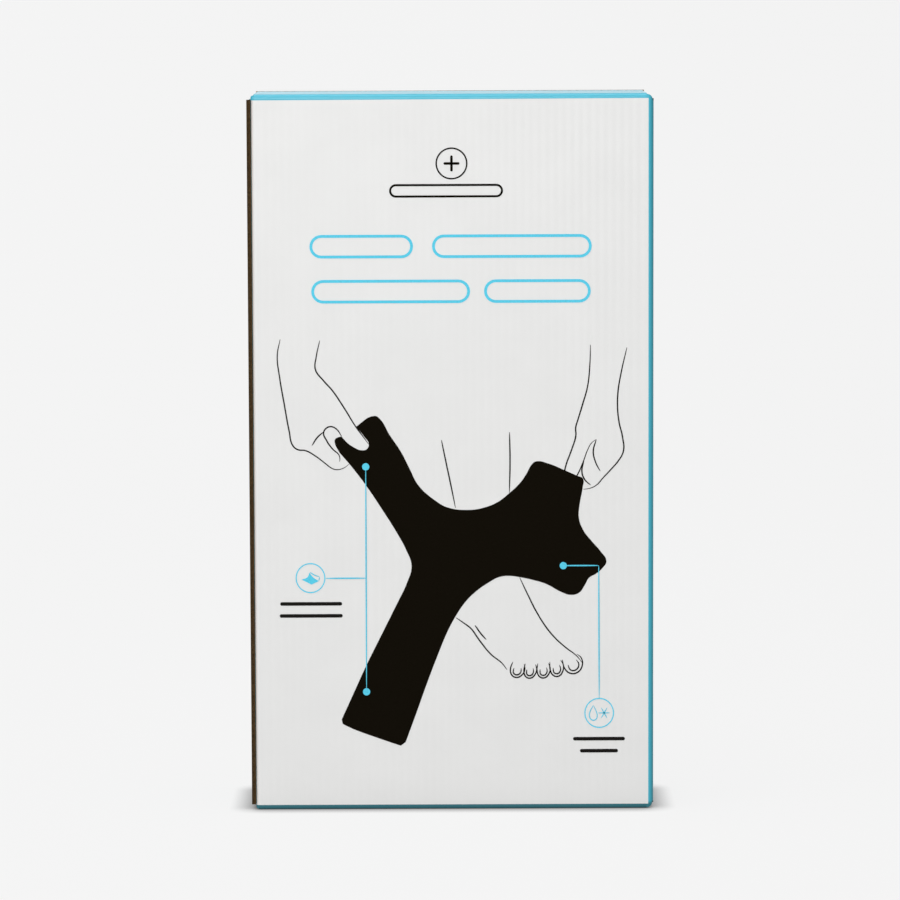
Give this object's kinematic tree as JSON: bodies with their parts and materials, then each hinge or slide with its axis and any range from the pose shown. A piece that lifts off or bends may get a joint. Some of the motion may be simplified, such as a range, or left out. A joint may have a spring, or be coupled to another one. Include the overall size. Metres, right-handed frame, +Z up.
{
  "type": "boxed ankle hot and cold wrap",
  "caption": "Upright tuck-end carton of thin corrugated board, white in front with blue sides, holding a folded ankle wrap with gel packs and hook-and-loop straps.",
  "frame": {"origin": "middle of the carton base, where it rests", "axes": "+X to the right seen from the printed front, +Y from the front to the back, +Z up"},
  "size_m": [0.162, 0.05, 0.288],
  "materials": {
    "white_print": "white coated face with a dark and light blue print",
    "blue_print": "blue printed coated face",
    "kraft_board": "raw brown corrugated board, blue print on its outer face",
    "loop_fabric": "black brushed loop fabric on foam",
    "lining_fabric": "soft dark knitted lining",
    "binding_tape": "black folded edge tape, stitched",
    "hook_tape": "black moulded hook tape",
    "gel_film": "clear glossy film",
    "gel": "clear blue gel",
    "leaflet_paper": "uncoated white paper with grey print"
  },
  "bodies": {
    "carton": {"front_panel": "white_print", "right_side_panel": "blue_print", "left_side_panel": "blue_print", "back_panel": "white_print", "glue_flap": "kraft_board"},
    "wrap": {"cover_front": "loop_fabric", "cover_back": "loop_fabric", "lining_front": "lining_fabric", "lining_back": "lining_fabric", "fold_spine": "loop_fabric", "binding_front": "binding_tape", "binding_back": "binding_tape", "gel_film_front": "gel_film", "gel_front": "gel", "gel_film_back": "gel_film", "gel_back": "gel", "upper_strap": "loop_fabric", "lower_strap": "loop_fabric", "upper_hook_patch": "hook_tape", "lower_hook_patch": "hook_tape", "leaflet": "leaflet_paper"},
    "top_lid": {"top_lid_panel": "blue_print"},
    "top_tuck": {"top_tuck_flap": "blue_print"},
    "top_dust_right": {"top_dust_flap_right": "blue_print"},
    "top_dust_left": {"top_dust_flap_left": "blue_print"},
    "bottom_lid": {"bottom_lid_panel": "blue_print"},
    "bottom_tuck": {"bottom_tuck_flap": "blue_print"},
    "bottom_dust_right": {"bottom_dust_flap_right": "blue_print"},
    "bottom_dust_left": {"bottom_dust_flap_left": "blue_print"}
  },
  "joints": [
    {"name": "wrap_slide", "type": "slide", "parent": "carton", "child": "wrap", "axis": [0, 0, 1], "range_m": [0, 0.22]},
    {"name": "top_lid_fold", "type": "hinge", "parent": "carton", "child": "top_lid", "pos_m": [0, -0.025, 0.288], "axis": [1, 0, 0], "range_deg": [0, 253]},
    {"name": "top_tuck_fold", "type": "hinge", "parent": "top_lid", "child": "top_tuck", "pos_m": [0, 0.0229, 0.288], "axis": [1, 0, 0], "range_deg": [0, 101]},
    {"name": "top_dust_fold_right", "type": "hinge", "parent": "carton", "child": "top_dust_right", "pos_m": [0.081, 0, 0.28605], "axis": [0, 1, 0], "range_deg": [0, 152]},
    {"name": "top_dust_fold_left", "type": "hinge", "parent": "carton", "child": "top_dust_left", "pos_m": [-0.081, 0, 0.28605], "axis": [0, -1, 0], "range_deg": [0, 152]},
    {"name": "bottom_lid_fold", "type": "hinge", "parent": "carton", "child": "bottom_lid", "pos_m": [0, -0.025, 0], "axis": [-1, 0, 0], "range_deg": [0, 250]},
    {"name": "bottom_tuck_fold", "type": "hinge", "parent": "bottom_lid", "child": "bottom_tuck", "pos_m": [0, 0.0229, 0], "axis": [-1, 0, 0], "range_deg": [0, 100]},
    {"name": "bottom_dust_fold_right", "type": "hinge", "parent": "carton", "child": "bottom_dust_right", "pos_m": [0.081, 0, 0.00195], "axis": [0, -1, 0], "range_deg": [0, 150]},
    {"name": "bottom_dust_fold_left", "type": "hinge", "parent": "carton", "child": "bottom_dust_left", "pos_m": [-0.081, 0, 0.00195], "axis": [0, 1, 0], "range_deg": [0, 150]}
  ],
  "couplings": [
    {"joint": "top_lid_fold", "follows": "wrap_slide", "rad_per_m": 20},
    {"joint": "top_tuck_fold", "follows": "wrap_slide", "rad_per_m": 8},
    {"joint": "top_dust_fold_right", "follows": "wrap_slide", "rad_per_m": 12},
    {"joint": "top_dust_fold_left", "follows": "wrap_slide", "rad_per_m": 12},
    {"joint": "bottom_tuck_fold", "follows": "bottom_lid_fold", "ratio": 0.4},
    {"joint": "bottom_dust_fold_right", "follows": "bottom_lid_fold", "ratio": 0.6},
    {"joint": "bottom_dust_fold_left", "follows": "bottom_lid_fold", "ratio": 0.6}
  ]
}
